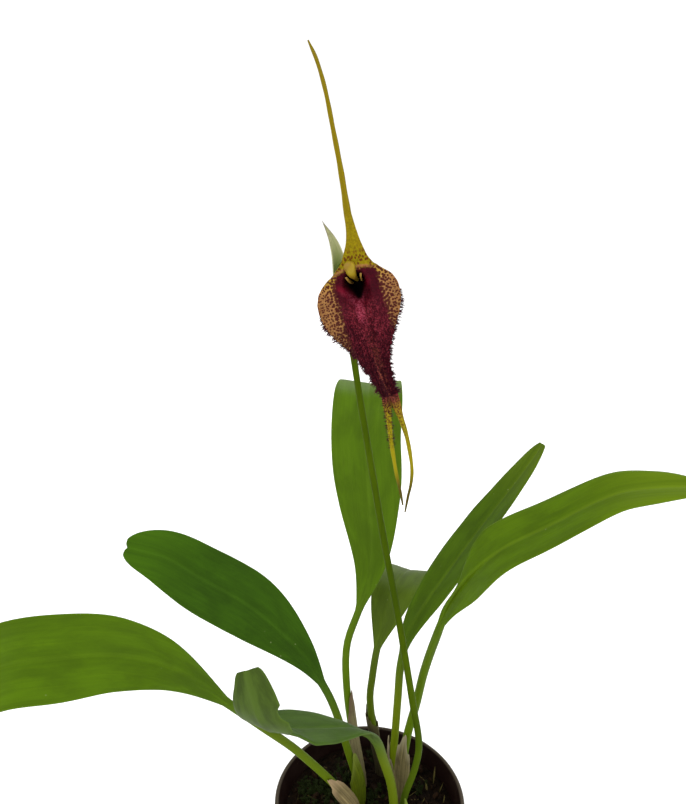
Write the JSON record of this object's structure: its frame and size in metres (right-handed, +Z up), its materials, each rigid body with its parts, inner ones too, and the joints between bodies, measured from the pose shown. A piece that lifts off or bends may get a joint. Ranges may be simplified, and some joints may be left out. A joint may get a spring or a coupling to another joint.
{
  "type": "potted masdevallia orchid",
  "caption": "Small orchid in a round dark pot: long stalked fleshy leaves and a thin stem carrying a hairy maroon and yellow bloom with long tails.",
  "frame": {"origin": "centre of the pot's flat base, on the surface it stands on", "axes": "+Z up, the bloom faces -Y"},
  "size_m": [0.1925, 0.1467, 0.2979],
  "materials": {
    "pot_plastic": "smooth dark brown, slightly glossy at the rim",
    "medium": "damp bark and dark humus with bits of moss",
    "leaf_green": "fleshy, satin",
    "leaf_dark": "fleshy, satin",
    "leaf_bright": "fleshy, satin",
    "stem_green": "smooth, satin",
    "sepal": "hairy, maroon over yellow",
    "petal_yellow": "waxy",
    "sheath_papery": "dry and streaked",
    "bract_papery": "thin and pale green"
  },
  "bodies": {
    "root": {"pot": "pot_plastic", "potting_medium": "medium", "leaf_left_long": "leaf_bright", "leaf_left_upper": "leaf_dark", "leaf_centre_tall": "leaf_green", "leaf_centre_back": "leaf_green", "leaf_right_narrow": "leaf_green", "leaf_right_long": "leaf_bright", "leaf_front_bitten": "leaf_green", "flower_stem": "stem_green", "young_shoot": "stem_green", "fused_sepals": "sepal", "petal_left": "petal_yellow", "petal_right": "petal_yellow", "column": "petal_yellow", "floral_bract": "bract_papery", "sheath_left_long": "sheath_papery", "sheath_left_upper": "sheath_papery", "sheath_centre_tall": "sheath_papery", "sheath_centre_back": "sheath_papery", "sheath_right_narrow": "sheath_papery", "sheath_right_long": "sheath_papery"}
  },
  "joints": []
}
